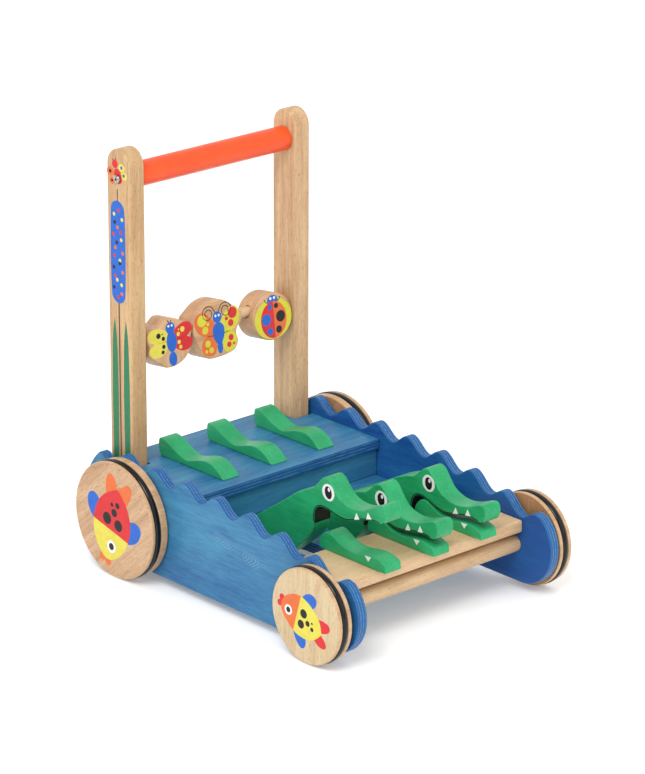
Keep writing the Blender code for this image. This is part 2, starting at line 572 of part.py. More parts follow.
def main():
    clear_scene()
    blue = finish("blue stain", (0.03, 0.16, 0.5), 0.45)
    green = finish("green paint", (0.02, 0.3, 0.13), 0.4)
    red = finish("orange-red lacquer", (0.75, 0.08, 0.02), 0.2)
    pale = finish("pale rubberwood", (0.72, 0.55, 0.35), 0.5)
    post_wood = finish("post wood", (0.55, 0.35, 0.18), 0.5)
    plate_wood = finish("birch ply", (0.75, 0.57, 0.33), 0.5)
    rubber = finish("black rubber", (0.01, 0.01, 0.01), 0.25)
    steel = finish("chromed steel", (0.8, 0.8, 0.8), 0.15, 1.0)
    nylon = finish("white nylon", (0.8, 0.8, 0.78), 0.4)
    side_panels(blue)
    cross_boards(blue, plate_wood)
    alligators(green)
    pivot_and_cams(pale, pale)
    wheel_set("front", FRONT_AXLE_Y, FRONT_WHEEL_RADIUS, FRONT_WHEEL_THICKNESS, pale, rubber, nylon)
    wheel_set("rear", REAR_AXLE_Y, REAR_WHEEL_RADIUS, REAR_WHEEL_THICKNESS, pale, rubber, nylon)
    posts(post_wood, nylon)
    handle_and_rod(red, pale)
    bolts(steel)
    beads(post_wood)


main()
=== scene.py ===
import json
import math
import random

import bmesh
import bpy
from mathutils import Matrix, Vector

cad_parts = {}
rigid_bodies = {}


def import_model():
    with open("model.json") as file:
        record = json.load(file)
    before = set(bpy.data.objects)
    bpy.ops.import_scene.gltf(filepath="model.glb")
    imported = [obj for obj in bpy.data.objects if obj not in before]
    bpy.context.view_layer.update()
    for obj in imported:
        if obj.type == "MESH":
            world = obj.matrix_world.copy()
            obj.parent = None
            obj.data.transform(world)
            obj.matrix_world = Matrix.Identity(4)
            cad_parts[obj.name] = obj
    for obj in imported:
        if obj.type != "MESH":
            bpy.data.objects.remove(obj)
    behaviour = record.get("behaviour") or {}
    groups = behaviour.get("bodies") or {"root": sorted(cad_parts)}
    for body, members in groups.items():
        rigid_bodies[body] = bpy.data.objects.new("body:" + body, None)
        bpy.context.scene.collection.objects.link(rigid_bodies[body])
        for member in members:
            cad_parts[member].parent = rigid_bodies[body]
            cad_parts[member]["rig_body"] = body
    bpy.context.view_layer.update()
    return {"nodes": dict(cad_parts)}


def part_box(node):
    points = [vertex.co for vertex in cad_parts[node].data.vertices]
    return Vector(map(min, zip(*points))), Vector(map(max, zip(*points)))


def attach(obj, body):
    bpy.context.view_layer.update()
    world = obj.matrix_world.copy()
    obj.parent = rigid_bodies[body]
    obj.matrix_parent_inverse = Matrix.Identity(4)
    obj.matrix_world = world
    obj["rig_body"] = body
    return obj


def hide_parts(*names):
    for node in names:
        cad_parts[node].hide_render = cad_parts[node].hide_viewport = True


MM = 0.001
SIDES = {"left": -1, "right": 1}
AXES = "XYZ"

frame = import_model()
nodes = frame["nodes"]


def rgb(red, green, blue):
    """A colour mixed on the 0 to 255 scale, as the shaders take it."""
    shares = [value / 255 for value in (red, green, blue)]
    return (*[s / 12.92 if s < 0.04045 else ((s + 0.055) / 1.055) ** 2.4 for s in shares], 1.0)


def darker(colour, share):
    return [value * share for value in colour[:3]] + [1.0]


def lighter(colour, share):
    return [value + (1 - value) * share for value in colour[:3]] + [1.0]


# Finishes ------------------------------------------------------------------------------------


class Amount:
    """A number that varies over a surface; arithmetic on it adds Math nodes to its finish."""

    def __init__(self, finish, socket):
        self.finish = finish
        self.socket = socket

    def maths(self, operation, *terms):
        made = self.finish.node("ShaderNodeMath", {"operation": operation}, dict(enumerate(terms)))
        return Amount(self.finish, made.outputs[0])

    def __add__(self, other):
        return self.maths("ADD", self, other)

    def __sub__(self, other):
        return self.maths("SUBTRACT", self, other)

    def __rsub__(self, other):
        return self.maths("SUBTRACT", other, self)

    def __mul__(self, other):
        return self.maths("MULTIPLY", self, other)

    __radd__ = __add__
    __rmul__ = __mul__

    def sine(self):
        return self.maths("SINE", self)

    def root(self):
        return self.maths("SQRT", self)

    def rise(self, low, high):
        """0 below low and 1 above high, with a smooth step between them."""
        sockets = {"Value": self, "From Min": low, "From Max": high}
        made = self.finish.node("ShaderNodeMapRange", {"interpolation_type": "SMOOTHSTEP"}, sockets)
        return Amount(self.finish, made.outputs[0])


class Finish:
    """A Principled material whose nodes are added from Python."""

    def __init__(self, name):
        self.material = bpy.data.materials.new(name)
        self.material.use_nodes = True
        self.tree = self.material.node_tree
        self.shader = self.tree.nodes["Principled BSDF"]
        self.place = self.node("ShaderNodeTexCoord").outputs["Object"]

    def feed(self, socket, value):
        if isinstance(value, Amount):
            value = value.socket
        if isinstance(value, bpy.types.NodeSocket):
            self.tree.links.new(value, socket)
        else:
            socket.default_value = value

    def node(self, kind, settings=None, sockets=None):
        """Adds a node, sets it up, then fills its sockets with values or links."""
        made = self.tree.nodes.new(kind)
        for key, value in (settings or {}).items():
            setattr(made, key, value)
        for key, value in (sockets or {}).items():
            self.feed(made.inputs[key], value)
        return made

    def blend(self, first, second, share):
        return self.node("ShaderNodeMix", {"data_type": "RGBA"}, {0: share, 6: first, 7: second}).outputs[2]

    def drawn_out(self, lengths, middle=(0, 0, 0), turn=(0, 0, 0)):
        """Places that are drawn out along each axis by the given lengths."""
        sockets = {"Vector": self.place, "Location": middle, "Rotation": turn, "Scale": lengths}
        return self.node("ShaderNodeMapping", {"vector_type": "TEXTURE"}, sockets).outputs[0]

    def noise(self, size, where=None, detail=2.0, roughness=0.5, distortion=0.0):
        """Cloudy noise whose lumps are about this size."""
        sockets = {"Vector": where or self.place, "Scale": 1 / size, "Detail": detail}
        sockets |= {"Roughness": roughness, "Distortion": distortion}
        return Amount(self, self.node("ShaderNodeTexNoise", None, sockets).outputs[0])

    def along(self, axis):
        split = self.node("ShaderNodeSeparateXYZ", None, {0: self.place})
        return Amount(self, split.outputs[AXES.index(axis)])

    def relief(self, height, depth, strength=0.5):
        sockets = {"Height": height, "Distance": depth, "Strength": strength}
        self.feed(self.shader.inputs["Normal"], self.node("ShaderNodeBump", None, sockets).outputs[0])

    def done(self, colour, roughness, coat=0.0, shine=0.3, metallic=0.0):
        """Joins up the colour and the roughness, and sets what is the same all over."""
        self.feed(self.shader.inputs["Base Color"], colour)
        self.feed(self.shader.inputs["Roughness"], roughness)
        plain = {"Coat Weight": coat, "Coat Roughness": 0.25, "Metallic": metallic}
        plain |= {"Specular IOR Level": shine}
        for key, value in plain.items():
            self.shader.inputs[key].default_value = value
        return self.material


def drawn_along(grain, length):
    return [length if axis == grain else 1.0 for axis in AXES]


def bare_wood(name, pale, dark, grain="Y", middle=(0, 0, 0), turn=(0, 0, 0), figure=0.5, gloss=0.42):
    """Lacquered wood: growth bands, fibres and short dark pores that follow the grain."""
    finish = Finish(name)
    long = finish.drawn_out(drawn_along(grain, 15), middle, turn)
    short = finish.drawn_out(drawn_along(grain, 7), middle, turn)
    wide = finish.drawn_out(drawn_along(grain, 4), middle, turn)
    bands = finish.noise(11 * MM, long, 3, 0.55)
    rings = (finish.noise(34 * MM, long, 1, 0.4, 0.3) * 52).sine() * 0.5 + 0.5
    fibres = finish.noise(1.5 * MM, long, 4, 0.65)
    pores = finish.noise(0.8 * MM, short, 1, 0.5).rise(0.6, 0.72)
    warmth = finish.noise(55 * MM, wide, 2, 0.5)
    tone = bands.rise(0.3, 0.7) * 0.4 + rings * (0.25 * figure)
    tone = tone + fibres.rise(0.3, 0.72) * 0.35 + warmth * 0.25 - 0.2
    colour = finish.blend(pale, dark, tone)
    colour = finish.blend(colour, darker(dark, 0.42), pores * (0.3 + 0.25 * figure))
    finish.relief(fibres * 0.5 - pores, 0.12 * MM, 0.35)
    roughness = fibres * 0.16 + (gloss - 0.06)
    return finish.done(colour, roughness, coat=0.08, shine=0.35)


def chevrons(finish, y, z, length):
    """Nested arrowheads of growth rings that run forwards along a board, as an amount from 0 to 1."""
    slope = 0.14
    spacing = 4.6 * MM
    blunt = 1.2 * MM
    sway = finish.noise(30 * MM, detail=2) * (5 * MM)
    ahead = finish.along("Y") * -1 + y + sway
    beside = finish.along("Z") + finish.along("Y") * -slope - (z - slope * y) + sway
    off_line = (beside * beside + blunt**2).root()
    rings = ((ahead + off_line * 1.5) * (math.tau / spacing)).sine().rise(0.35, 1.0)
    narrow = 1 - off_line.rise(4.5 * MM, 8 * MM)
    ends = ahead.rise(0, 6 * MM) * (1 - ahead.rise(length - 8 * MM, length))
    return rings * narrow * ends


def stained(name, pale, deep, grain="Y", offset=(0, 0, 0), figures=(), nose_shade=0.0):
    """Blue-stained birch ply: the grain shows through as paler and deeper streaks, and painted shade can
    darken it towards the front.
    """
    finish = Finish(name)
    long = finish.drawn_out(drawn_along(grain, 13), offset)
    wide = finish.drawn_out(drawn_along(grain, 3), offset)
    cloud = finish.noise(48 * MM, wide, 3, 0.55)
    bands = finish.noise(9 * MM, long, 3, 0.6)
    fibres = finish.noise(1.3 * MM, long, 4, 0.7)
    flecks = finish.noise(0.9 * MM, finish.drawn_out(drawn_along(grain, 5), offset), 1, 0.5).rise(0.62, 0.76)
    tone = cloud.rise(0.28, 0.72) * 0.5 + bands.rise(0.3, 0.7) * 0.3 + fibres.rise(0.3, 0.7) * 0.34 - 0.1
    colour = finish.blend(pale, deep, tone)
    for y, z, length in figures:
        shown = chevrons(finish, y, z, length) * fibres.rise(0.3, 0.6) * 0.5
        colour = finish.blend(colour, lighter(pale, 0.25), shown)
    # Painted shade: towards the front end the colour darkens to a deep blue, for the shade on the panels'
    # noses.
    if nose_shade:
        forward_shade = (finish.along("Y") * -1).rise(60 * MM, 200 * MM)
        colour = finish.blend(colour, NOSE_SHADE_BLUE, forward_shade * nose_shade)
    colour = finish.blend(colour, darker(deep, 0.45), flecks * 0.3)
    finish.relief(fibres * 0.6 - flecks, 0.12 * MM, 0.35)
    return finish.done(colour, fibres * 0.18 + 0.36, coat=0.04)


def ply_edge(name, pale, deep, across, middle, run="Y", plies=7, thickness=12 * MM, line=0.0):
    """The layered edge of a board: long grain and end grain take turns through the thickness."""
    finish = Finish(name)
    period = 2 * thickness / plies
    waver = finish.noise(30 * MM, detail=1)
    through = (finish.along(across) - middle) * (math.tau / period) + waver * 0.7
    layers = through.sine().rise(-0.35, 0.5)
    fibres = finish.noise(1.2 * MM, finish.drawn_out(drawn_along(run, 12)), 4, 0.7)
    pits = finish.noise(1.1 * MM, detail=2).rise(0.56, 0.7) * (1 - layers)
    cloud = finish.noise(25 * MM, detail=2)
    tone = layers * 0.36 + fibres.rise(0.3, 0.7) * 0.34 + cloud * 0.4 - 0.14
    colour = finish.blend(deep, pale, tone)
    colour = finish.blend(colour, darker(deep, 0.4), pits * 0.45)
    seam = through.sine().rise(0.8, 1.0) * fibres.rise(0.42, 0.62) * line
    colour = finish.blend(colour, lighter(pale, 0.35), seam)
    finish.relief(layers * 0.5 + fibres * 0.4 - pits, 0.15 * MM, 0.4)
    return finish.done(colour, fibres * 0.2 + 0.4, coat=0.03)


def painted(name, fresh, deep, grain="Y", gloss=0.36, coat=0.06, show=0.5):
    """Thin satin paint: the wood's grain still shows, and the colour pools and thins a little."""
    finish = Finish(name)
    fibres = finish.noise(1.6 * MM, finish.drawn_out(drawn_along(grain, 14)), 4, 0.65)
    bands = finish.noise(10 * MM, finish.drawn_out(drawn_along(grain, 9)), 2, 0.5)
    cloud = finish.noise(30 * MM, detail=2)
    specks = finish.noise(0.9 * MM, detail=1).rise(0.66, 0.8)
    tone = fibres.rise(0.3, 0.7) * show + bands.rise(0.3, 0.7) * 0.25 + cloud.rise(0.3, 0.7) * 0.35 - 0.15
    colour = finish.blend(fresh, deep, tone)
    colour = finish.blend(colour, darker(deep, 0.6), specks * 0.2)
    finish.relief(fibres + cloud * 0.6, 0.12 * MM, 0.3)
    return finish.done(colour, cloud * 0.1 + fibres * 0.08 + gloss - 0.08, coat=coat)


def ink(name, colour):
    """Printed colour, slightly uneven, with the wood's pores showing through."""
    finish = Finish("ink_" + name)
    cloud = finish.noise(7 * MM, detail=2)
    pores = finish.noise(0.8 * MM, finish.drawn_out((1, 1, 5)), 1).rise(0.6, 0.8)
    mixed = finish.blend(colour, darker(colour, 0.8), cloud.rise(0.35, 0.75) * 0.5 + pores * 0.35)
    finish.relief(cloud - pores, 0.05 * MM, 0.2)
    return finish.done(mixed, cloud * 0.12 + 0.38)


def rubber():
    finish = Finish("black_tyre_rubber")
    cloud = finish.noise(9 * MM, detail=3)
    dust = finish.noise(1.4 * MM, detail=3).rise(0.55, 0.8)
    colour = finish.blend(rgb(5, 5, 6), rgb(24, 23, 22), dust * 0.4 + cloud * 0.2)
    finish.relief(cloud + dust * 0.3, 0.06 * MM, 0.3)
    return finish.done(colour, cloud * 0.1 + dust * 0.1 + 0.1, shine=0.35)


def steel():
    finish = Finish("plated_bolt_steel")
    turned_marks = finish.noise(0.35 * MM, detail=2)
    cloud = finish.noise(3 * MM, detail=2)
    colour = finish.blend(rgb(200, 200, 198), rgb(140, 138, 134), cloud.rise(0.3, 0.7))
    finish.relief(turned_marks, 0.03 * MM, 0.2)
    return finish.done(colour, turned_marks * 0.12 + 0.2, shine=0.5, metallic=1.0)


def nylon():
    finish = Finish("white_washer_nylon")
    cloud = finish.noise(5 * MM, detail=3)
    scuffs = finish.noise(0.8 * MM, detail=2).rise(0.58, 0.75)
    colour = finish.blend(rgb(236, 234, 226), rgb(205, 202, 192), cloud.rise(0.35, 0.7) * 0.5 + scuffs * 0.4)
    finish.relief(cloud + scuffs * 0.4, 0.05 * MM, 0.3)
    return finish.done(colour, cloud * 0.2 + 0.36)


BLUE_PALE = rgb(68, 138, 172)
BLUE_DEEP = rgb(20, 84, 138)
# Painted shade: the deep blue that the panels darken to towards their noses.
NOSE_SHADE_BLUE = rgb(14, 66, 134)
# Painted shade: a darker copy of the stain for the panels' inner faces.
INSIDE_SHADE_PALE = rgb(42, 114, 174)
INSIDE_SHADE_DEEP = rgb(12, 64, 138)
EDGE_PALE = rgb(58, 124, 172)
EDGE_DEEP = rgb(16, 68, 134)
GREEN_FRESH = rgb(42, 168, 106)
GREEN_DEEP = rgb(20, 134, 80)
BACK_FRESH = rgb(46, 166, 108)
BACK_DEEP = rgb(24, 134, 84)
# Painted shade: near-black for the sawn faces inside the mouths, standing in for the shadow there.
MOUTH_SHADE_BLACK = rgb(24, 30, 26)
MOUTH_SHADE_DEEP = rgb(10, 14, 12)
HANDLE_RED = rgb(240, 84, 30)
HANDLE_DEEP = rgb(220, 66, 22)
POST_PALES = {"left": rgb(208, 172, 126), "right": rgb(218, 182, 140)}
POST_DARK = rgb(160, 118, 78)
PLATE_PALE = rgb(220, 192, 150)
PLATE_DARK = rgb(200, 164, 120)
PLATE_EDGE_PALE = rgb(218, 184, 144)
PLATE_EDGE_DARK = rgb(190, 150, 110)
WHEEL_PALES = {"front": rgb(208, 188, 150), "rear": rgb(206, 172, 136)}
WHEEL_DARKS = {"front": rgb(176, 144, 104), "rear": rgb(160, 116, 80)}
WHEEL_RIM_PALE = rgb(208, 172, 132)
WHEEL_RIM_DARK = rgb(160, 120, 84)
# Painted shade: darker wood for the wheels' inner faces, which lie in the panels' shade.
WHEEL_BACK_SHADE_PALE = rgb(190, 142, 98)
WHEEL_BACK_SHADE_DARK = rgb(150, 102, 64)
DOWEL_PALE = rgb(214, 182, 142)
DOWEL_DARK = rgb(176, 138, 98)
CAM_PALE = rgb(212, 174, 134)
CAM_DARK = rgb(172, 126, 88)

# Making meshes -------------------------------------------------------------------------------

SQUARE_ON = 0.94  # a face is square to an axis when its normal leans this far along it


def finished_piece(name, bm, materials, body, replaced=(), smooth=38):
    """Turns a bmesh, already in place, into a piece that rides on a body."""
    mesh = bpy.data.meshes.new(name)
    bm.to_mesh(mesh)
    bm.free()
    for material in materials:
        mesh.materials.append(material)
    mesh.shade_smooth()
    mesh.set_sharp_from_angle(angle=math.radians(smooth))
    piece = bpy.data.objects.new(name, mesh)
    bpy.context.scene.collection.objects.link(piece)
    weighted = piece.modifiers.new("even_shading", "WEIGHTED_NORMAL")
    weighted.keep_sharp = True
    weighted.weight = 100
    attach(piece, body)
    if replaced:
        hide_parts(*replaced)


def body_of_node(name):
    return nodes[name]["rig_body"]


def copy_of(name):
    """A bmesh of a CAD node, its loose triangles merged and its flat faces made whole."""
    bm = bmesh.new()
    bm.from_mesh(nodes[name].data)
    bmesh.ops.remove_doubles(bm, verts=bm.verts, dist=0.002 * MM)
    bmesh.ops.dissolve_limit(
        bm, angle_limit=math.radians(0.8), verts=bm.verts, edges=bm.edges, use_dissolve_boundaries=False
    )
    return bm


def ease_edges(bm, width, bores=(), segments=3, sharper=42):
    """Rounds the sharp edges, but not those round a bore given as (y, z, radius)."""

    def near_bore(edge):
        middle = (edge.verts[0].co + edge.verts[1].co) / 2
        return any(math.hypot(middle.y - y, middle.z - z) < radius for y, z, radius in bores)

    limit = math.radians(sharper)
    edges = [e for e in bm.edges if e.is_manifold and e.calc_face_angle(0) > limit and not near_bore(e)]
    bmesh.ops.bevel(
        bm, geom=edges, offset=width, offset_type="OFFSET", affect="EDGES", segments=segments, profile=0.5,
        clamp_overlap=False, material=-1,
    )  # fmt: skip


def paint_by_direction(bm, axis):
    """Faces square to the axis take the first material and the rest take the second."""
    index = AXES.index(axis)
    for face in bm.faces:
        face.material_index = 0 if abs(face.normal[index]) > SQUARE_ON else 1


def spun(profile, centre, sign, steps=96):
    """Turns a profile of (distance out along X, radius) round an axle."""
    bm = bmesh.new()
    points = [bm.verts.new(centre + Vector((sign * out, 0, radius))) for out, radius in profile]
    edges = [bm.edges.new(pair) for pair in zip(points, points[1:])]
    bmesh.ops.spin(
        bm, geom=points + edges, cent=centre, axis=(1, 0, 0), angle=math.tau, steps=steps, use_merge=True
    )
    bmesh.ops.remove_doubles(bm, verts=bm.verts, dist=0.001 * MM)
    bmesh.ops.recalc_face_normals(bm, faces=bm.faces)
    return bm


def middle_of(name):
    low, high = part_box(name)
    return (low + high) / 2


# Boards --------------------------------------------------------------------------------------

FRONT_AXLE = middle_of("front_axle")
REAR_AXLE = middle_of("rear_axle")
PIVOT = middle_of("pivot_rod")
HANDLE = middle_of("handle_bar")
BEAD_ROD = middle_of("bead_rod")
POST_BOLTS = [middle_of("post_bolt_left_" + level) for level in ("lower", "upper")]


def bore_round(places, radius):
    return [(place.y, place.z, radius) for place in places]


# Where each row of arrowheads starts (y, z) and how long it is
PANEL_FIGURES = [(4 * MM, 87 * MM, 34 * MM), (-42 * MM, 80 * MM, 32 * MM)]


def make_side_panels():
    bores = bore_round([FRONT_AXLE, REAR_AXLE], 11 * MM) + bore_round([PIVOT, *POST_BOLTS], 6 * MM)
    for side, sign in SIDES.items():
        node = "side_panel_" + side
        bm = copy_of(node)
        ease_edges(bm, 1.3 * MM, bores)
        paint_by_direction(bm, "X")
        # Painted shade: faces that look inwards take the darker copy of the stain.
        for part in bm.faces:
            if part.normal.x * sign < -SQUARE_ON:
                part.material_index = 2
        offset = (0.03 * sign, 0.021, 0.004 * sign)
        face = stained("stained_face_" + side, BLUE_PALE, BLUE_DEEP, "Y", offset, PANEL_FIGURES, nose_shade=0.6)
        inner = stained("stained_and_shaded_inside_" + side, INSIDE_SHADE_PALE, INSIDE_SHADE_DEEP, "Y", offset, nose_shade=0.7)
        edge = ply_edge("stained_edge_" + side, EDGE_PALE, EDGE_DEEP, "X", middle_of(node).x, line=0.5)
        finished_piece(node + "_stained", bm, [face, edge, inner], body_of_node(node), [node])


def make_boards():
    across = {"deck_board": "Z", "riser_board": "Y", "rear_board": "Y", "floor_board": "Z"}
    for count, (node, axis) in enumerate(across.items()):
        bm = copy_of(node)
        ease_edges(bm, 1.0 * MM)
        paint_by_direction(bm, axis)
        middle = middle_of(node)[AXES.index(axis)]
        face = stained(node + "_stain", BLUE_PALE, BLUE_DEEP, "X", (0.05 * count, 0.01, 0.02))
        edge = ply_edge(node + "_edge", EDGE_PALE, EDGE_DEEP, axis, middle, run="X", line=0.3)
        finished_piece(node + "_stained", bm, [face, edge], body_of_node(node), [node])
    bm = copy_of("jaw_plate")
    ease_edges(bm, 2.2 * MM)
    paint_by_direction(bm, "Z")
    face = bare_wood("plate_birch", PLATE_PALE, PLATE_DARK, "X", (0.02, 0.03, 0), figure=0.4)
    edge = bare_wood("plate_edge", PLATE_EDGE_PALE, PLATE_EDGE_DARK, "X", (0.03, 0.01, 0), figure=0.2)
    body = body_of_node("jaw_plate")
    finished_piece("jaw_plate_lacquered", bm, [face, edge], body, ["jaw_plate"])


# Alligators ----------------------------------------------------------------------------------

ALLIGATORS = ("left", "middle", "right")
LEFT_LIFT = math.radians(7.3)
PLATE_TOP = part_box("jaw_plate")[1].z
# The mouth's reach: back from the front axle, and up from the plate
MOUTH_TIP, MOUTH_CORNER, MOUTH_END = -27 * MM, 60 * MM, 82 * MM
MOUTH_LOW, MOUTH_HIGH = 4 * MM, 25 * MM


def lifted(tilt):
    """Turns a head about the pivot, mouth open for a positive tilt."""
    return Matrix.Translation(PIVOT) @ Matrix.Rotation(-tilt, 4, "X") @ Matrix.Translation(-PIVOT)


def paint_mouth_shade(bm, tilt):
    """Gives the second material, near-black painted shade, to the sawn faces inside a head's mouth, as it
    lies when shut.
    """
    shut = lifted(-tilt)
    turn = shut.to_3x3()
    for face in bm.faces:
        middle = shut @ face.calc_center_median()
        normal = turn @ face.normal
        y, z = middle.y - FRONT_AXLE.y, middle.z - PLATE_TOP
        inside = MOUTH_TIP < y < MOUTH_END and MOUTH_LOW < z < MOUTH_HIGH
        if inside and abs(normal.x) < 0.95 and (normal.z < -0.12 or y > MOUTH_CORNER):
            face.material_index = 1


def make_alligators():
    # Painted shade: the near-black finish for the faces inside the mouths.
    dark = painted("painted_mouth_shade", MOUTH_SHADE_BLACK, MOUTH_SHADE_DEEP, "Y", show=0.3)
    green = painted("green_head_paint", GREEN_FRESH, GREEN_DEEP, "Y")
    jaw_green = painted("green_jaw_paint", GREEN_FRESH, GREEN_DEEP, "Y", show=0.4)
    back_green = painted("green_back_paint", BACK_FRESH, BACK_DEEP, "Y", show=0.4)
    pivot_bore = bore_round([PIVOT], 7 * MM)
    for name in ALLIGATORS:
        for kind, material, ease, bores in (
            ("head_", green, 1.3 * MM, pivot_bore),
            ("lower_jaw_", jaw_green, 1.3 * MM, ()),
            ("back_", back_green, 0.9 * MM, ()),
        ):
            node = kind + name
            bm = copy_of(node)
            ease_edges(bm, ease, bores)
            if kind == "head_":
                paint_mouth_shade(bm, LEFT_LIFT if name == "left" else 0)
            finished_piece(node + "_painted", bm, [material, dark], body_of_node(node), [node])


# Wheels --------------------------------------------------------------------------------------


WHEEL_BORE = 9.3 * MM
WHEEL_WALL = 6.5 * MM  # wood between the axle's end and the outer face
WHEEL_EASES = {"front": 1.3 * MM, "rear": 1.5 * MM}
WHEEL_FIGURES = {"front": 0.6, "rear": 1.0}
GRAIN_TURNS = {"front": math.radians(4), "rear": math.radians(48)}
PRINT_ROOM = 0.25 * MM  # the wheels' faces lie this far back, so that the prints stay in the box
TYRE_SWELL = 0.4 * MM
TYRE_DEPTH = 4.6 * MM
GROOVE_SPARE = 0.2 * MM
GROOVE_FLOOR_SPARE = 0.3 * MM
TURNS = 112


def make_wheels():
    tyre_rubber = rubber()
    for end, axle in (("front", FRONT_AXLE), ("rear", REAR_AXLE)):
        for side, sign in SIDES.items():
            wheel, tyre = f"{end}_wheel_{side}", f"{end}_tyre_{side}"
            low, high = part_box(wheel)
            inner = Vector((min(abs(low.x), abs(high.x)) * sign, axle.y, axle.z))
            tyre_low, tyre_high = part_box(tyre)
            tyre_out = abs((tyre_low.x + tyre_high.x) / 2) - abs(inner.x)
            half = (tyre_high.x - tyre_low.x) / 2 + TYRE_SWELL
            tyre_radius = (tyre_high.z - tyre_low.z) / 2
            make_wheel(wheel, end, sign, inner, tyre_out, half + GROOVE_SPARE, tyre_radius)
            ring = bmesh.new()
            place = Vector((inner.x + sign * tyre_out, axle.y, axle.z + tyre_radius - TYRE_DEPTH / 2))
            stand = Matrix.Translation(place) @ Matrix.Rotation(math.radians(90), 4, "X")
            shape = stand @ Matrix.Diagonal((half, TYRE_DEPTH / 2, 1, 1))
            bmesh.ops.create_circle(ring, segments=20, radius=1, matrix=shape)
            bmesh.ops.spin(
                ring, geom=ring.verts[:] + ring.edges[:], cent=axle, axis=(1, 0, 0), angle=math.tau,
                steps=TURNS, use_merge=True,
            )  # fmt: skip
            bmesh.ops.remove_doubles(ring, verts=ring.verts, dist=0.001 * MM)
            bmesh.ops.recalc_face_normals(ring, faces=ring.faces)
            finished_piece(tyre + "_ring", ring, [tyre_rubber], body_of_node(tyre), [tyre])


def make_wheel(wheel, end, sign, inner, tyre_out, groove, tyre_radius):
    """A turned disc with a blind bore on its inner side and a groove for the tyre in its tread."""
    low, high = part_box(wheel)
    thick = high.x - low.x
    radius = (high.z - low.z) / 2
    floor = tyre_radius - TYRE_DEPTH - GROOVE_FLOOR_SPARE
    face = thick - PRINT_ROOM
    profile = [
        (thick - WHEEL_WALL, 0), (thick - WHEEL_WALL, WHEEL_BORE), (0, WHEEL_BORE), (0, radius),
        (tyre_out - groove, radius), (tyre_out - groove, floor), (tyre_out + groove, floor),
        (tyre_out + groove, radius), (face, radius), (face, 0),
    ]  # fmt: skip
    bm = spun(profile, inner, sign, TURNS)

    def out_at_the_tread(edge):
        place = edge.verts[0].co - inner
        return math.hypot(place.y, place.z) > radius - 0.1 * MM

    rims = [e for e in bm.edges if e.calc_face_angle(0) > 1 and out_at_the_tread(e)]
    bmesh.ops.bevel(
        bm, geom=rims, offset=WHEEL_EASES[end], offset_type="OFFSET", affect="EDGES", segments=4, profile=0.5,
        clamp_overlap=True, material=-1,
    )  # fmt: skip
    # The inner faces take the third finish, a darker wood that is painted shade.
    for part in bm.faces:
        part.material_index = 1 if abs(part.normal.x) < 0.9 else 0 if part.normal.x * sign > 0 else 2
    turn = (GRAIN_TURNS[end], 0, 0)
    pith = (0.1 * sign, inner.y + 0.013, inner.z)
    middle = (0.1 * sign, inner.y, inner.z)
    wood = bare_wood(
        wheel + "_wood", WHEEL_PALES[end], WHEEL_DARKS[end], "Z", pith, turn, figure=WHEEL_FIGURES[end]
    )
    hub = (0, inner.y, inner.z)
    rim = bare_wood(wheel + "_rim", WHEEL_RIM_PALE, WHEEL_RIM_DARK, "X", hub, figure=0.2)
    back = bare_wood(wheel + "_back", WHEEL_BACK_SHADE_PALE, WHEEL_BACK_SHADE_DARK, "Z", middle, turn, figure=0.8)
    body = body_of_node(wheel)
    finished_piece(wheel + "_turned", bm, [wood, rim, back], body, [wheel], smooth=50)


def make_dowel(node, material, ease, steps=64):
    low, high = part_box(node)
    radius = (high.z - low.z) / 2
    length = high.x - low.x
    start = Vector((low.x, (low.y + high.y) / 2, (low.z + high.z) / 2))
    bm = spun([(0, 0), (0, radius), (length, radius), (length, 0)], start, 1, steps)
    ease_edges(bm, ease, sharper=60)
    finished_piece(node + "_turned", bm, [material], body_of_node(node), [node], smooth=50)


# Posts, handle and bolts ---------------------------------------------------------------------


def make_posts():
    bores = bore_round([HANDLE, BEAD_ROD, *POST_BOLTS], 8 * MM)
    for side, sign in SIDES.items():
        node = "post_" + side
        bm = copy_of(node)
        ease_edges(bm, 2 * MM, bores, segments=4, sharper=60)
        middle = (0.1 * sign, 0.02, 0)
        wood = bare_wood(node + "_wood", POST_PALES[side], POST_DARK, "Z", middle, figure=0.6, gloss=0.46)
        finished_piece(node + "_sanded", bm, [wood], body_of_node(node), [node])


BOLT_SOCKET_RADIUS = 1.75 * MM
BOLT_SOCKET_DEPTH = 1.7 * MM
BOLT_TOP_RADIUS = 3.6 * MM
BOLT_SHOULDER_RADIUS = 4.2 * MM
BOLT_HEAD_RADIUS = 4.6 * MM
BOLT_SHANK_RADIUS = 3 * MM
BOLT_HEAD_RISES = (0.35 * MM, 0.6 * MM, 1.45 * MM)


